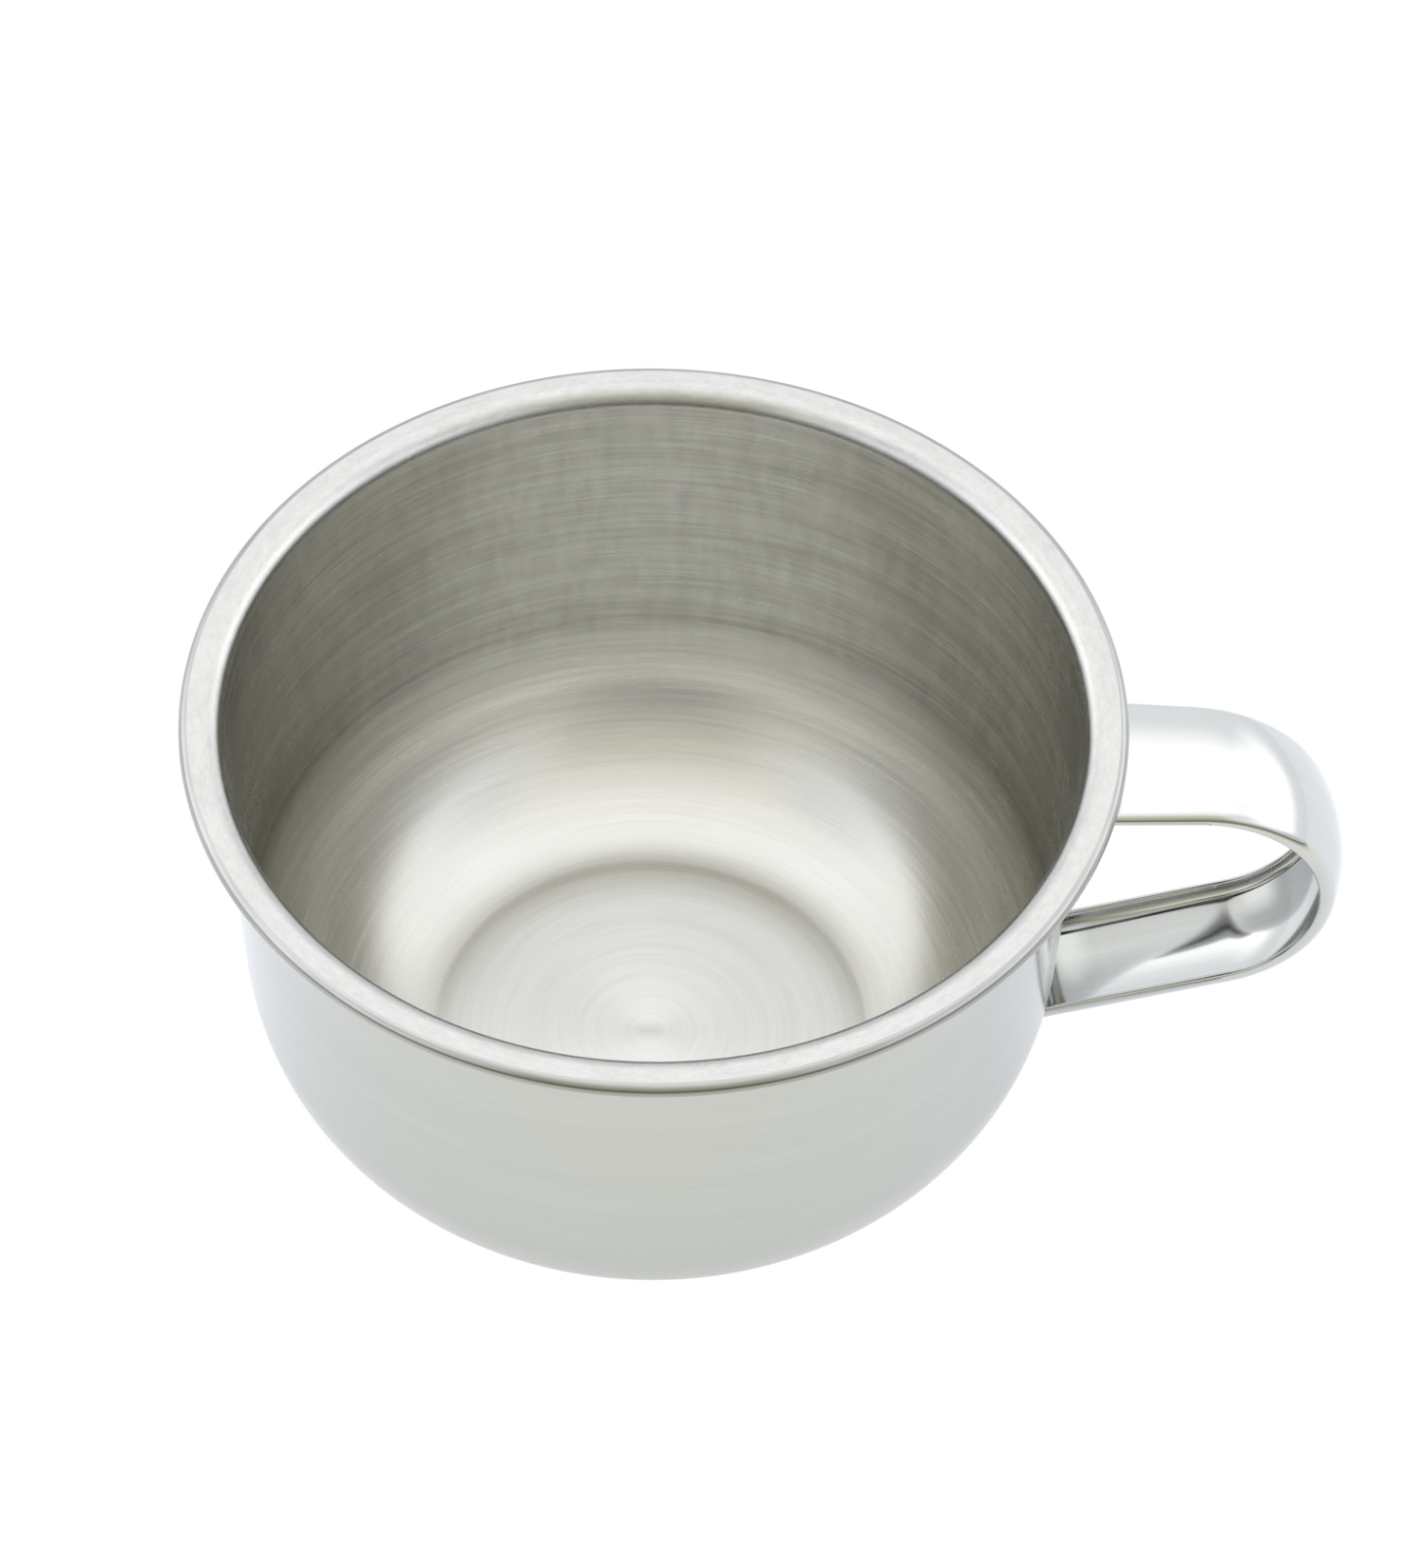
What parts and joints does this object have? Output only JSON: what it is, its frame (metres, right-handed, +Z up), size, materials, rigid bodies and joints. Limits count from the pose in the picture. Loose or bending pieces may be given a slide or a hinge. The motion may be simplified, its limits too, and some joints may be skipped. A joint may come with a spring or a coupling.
{
  "type": "shaving mug",
  "caption": "Open stainless steel shaving mug: round drawn bowl with a wide hemmed rim, flat base, and a small one-finger loop handle of crowned strap welded to the side.",
  "frame": {"origin": "middle of the flat resting face, on the axis of the bowl", "axes": "+Z up out of the mouth along the axis of the bowl, +X out through the handle, +Y across the handle"},
  "size_m": [0.1242, 0.1, 0.0555],
  "materials": {
    "bowl_steel": "polished outside, satin spun grain inside and on the rim",
    "handle_steel": "bright polished",
    "weld_steel": "dressed weld, satin"
  },
  "bodies": {
    "root": {"bowl": "bowl_steel", "handle_strap": "handle_steel", "upper_weld": "weld_steel", "lower_weld": "weld_steel"}
  },
  "joints": []
}
